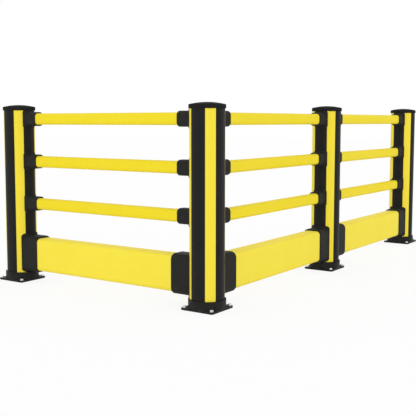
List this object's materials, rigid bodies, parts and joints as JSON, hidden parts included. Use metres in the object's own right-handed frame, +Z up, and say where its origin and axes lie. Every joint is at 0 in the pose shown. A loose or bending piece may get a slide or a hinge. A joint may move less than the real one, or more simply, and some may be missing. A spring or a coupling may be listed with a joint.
{
  "type": "corner crash protection barrier",
  "caption": "L-shaped crash protection barrier: round black posts with yellow strips, slim yellow guard rails and a deep kick rail held in black moulded sockets, on bolted square feet.",
  "frame": {"origin": "on the floor, at the centre of the corner post's base plate underside", "axes": "+Z up along the posts, +X along the long arm of two bays, +Y along the short arm of one bay"},
  "size_m": [3.216, 1.716, 1.157],
  "materials": {
    "post_polymer": "black moulded polymer, satin with a fine grain",
    "cap_polymer": "black moulded polymer, satin with a fine grain",
    "socket_polymer": "black moulded polymer, satin with a fine grain",
    "rail_yellow": "safety yellow extruded polymer, semi gloss",
    "strip_yellow": "safety yellow extruded polymer, semi gloss",
    "foot_steel": "black powder-coated steel",
    "zinc_steel": "zinc-plated steel"
  },
  "bodies": {
    "root": {"post_corner": "post_polymer", "strips_corner": "strip_yellow", "cap_corner": "cap_polymer", "foot_corner": "foot_steel", "anchors_corner": "zinc_steel", "screws_corner": "zinc_steel", "post_middle": "post_polymer", "strips_middle": "strip_yellow", "cap_middle": "cap_polymer", "foot_middle": "foot_steel", "anchors_middle": "zinc_steel", "screws_middle": "zinc_steel", "post_long_end": "post_polymer", "strips_long_end": "strip_yellow", "cap_long_end": "cap_polymer", "foot_long_end": "foot_steel", "anchors_long_end": "zinc_steel", "screws_long_end": "zinc_steel", "post_short_end": "post_polymer", "strips_short_end": "strip_yellow", "cap_short_end": "cap_polymer", "foot_short_end": "foot_steel", "anchors_short_end": "zinc_steel", "screws_short_end": "zinc_steel", "guard_rail_short_low": "rail_yellow", "guard_rail_short_middle": "rail_yellow", "guard_rail_short_top": "rail_yellow", "guard_rail_long_inner_low": "rail_yellow", "guard_rail_long_inner_middle": "rail_yellow", "guard_rail_long_inner_top": "rail_yellow", "guard_rail_long_outer_low": "rail_yellow", "guard_rail_long_outer_middle": "rail_yellow", "guard_rail_long_outer_top": "rail_yellow", "kick_rail_short": "rail_yellow", "kick_rail_long_inner": "rail_yellow", "kick_rail_long_outer": "rail_yellow", "socket_corner_east_low": "socket_polymer", "socket_corner_east_middle": "socket_polymer", "socket_corner_east_top": "socket_polymer", "socket_corner_north_low": "socket_polymer", "socket_corner_north_middle": "socket_polymer", "socket_corner_north_top": "socket_polymer", "socket_middle_west_low": "socket_polymer", "socket_middle_west_middle": "socket_polymer", "socket_middle_west_top": "socket_polymer", "socket_middle_east_low": "socket_polymer", "socket_middle_east_middle": "socket_polymer", "socket_middle_east_top": "socket_polymer", "socket_long_end_west_low": "socket_polymer", "socket_long_end_west_middle": "socket_polymer", "socket_long_end_west_top": "socket_polymer", "socket_short_end_south_low": "socket_polymer", "socket_short_end_south_middle": "socket_polymer", "socket_short_end_south_top": "socket_polymer", "socket_corner_east_kick": "socket_polymer", "socket_corner_north_kick": "socket_polymer", "socket_middle_west_kick": "socket_polymer", "socket_middle_east_kick": "socket_polymer", "socket_long_end_west_kick": "socket_polymer", "socket_short_end_south_kick": "socket_polymer"}
  },
  "joints": []
}
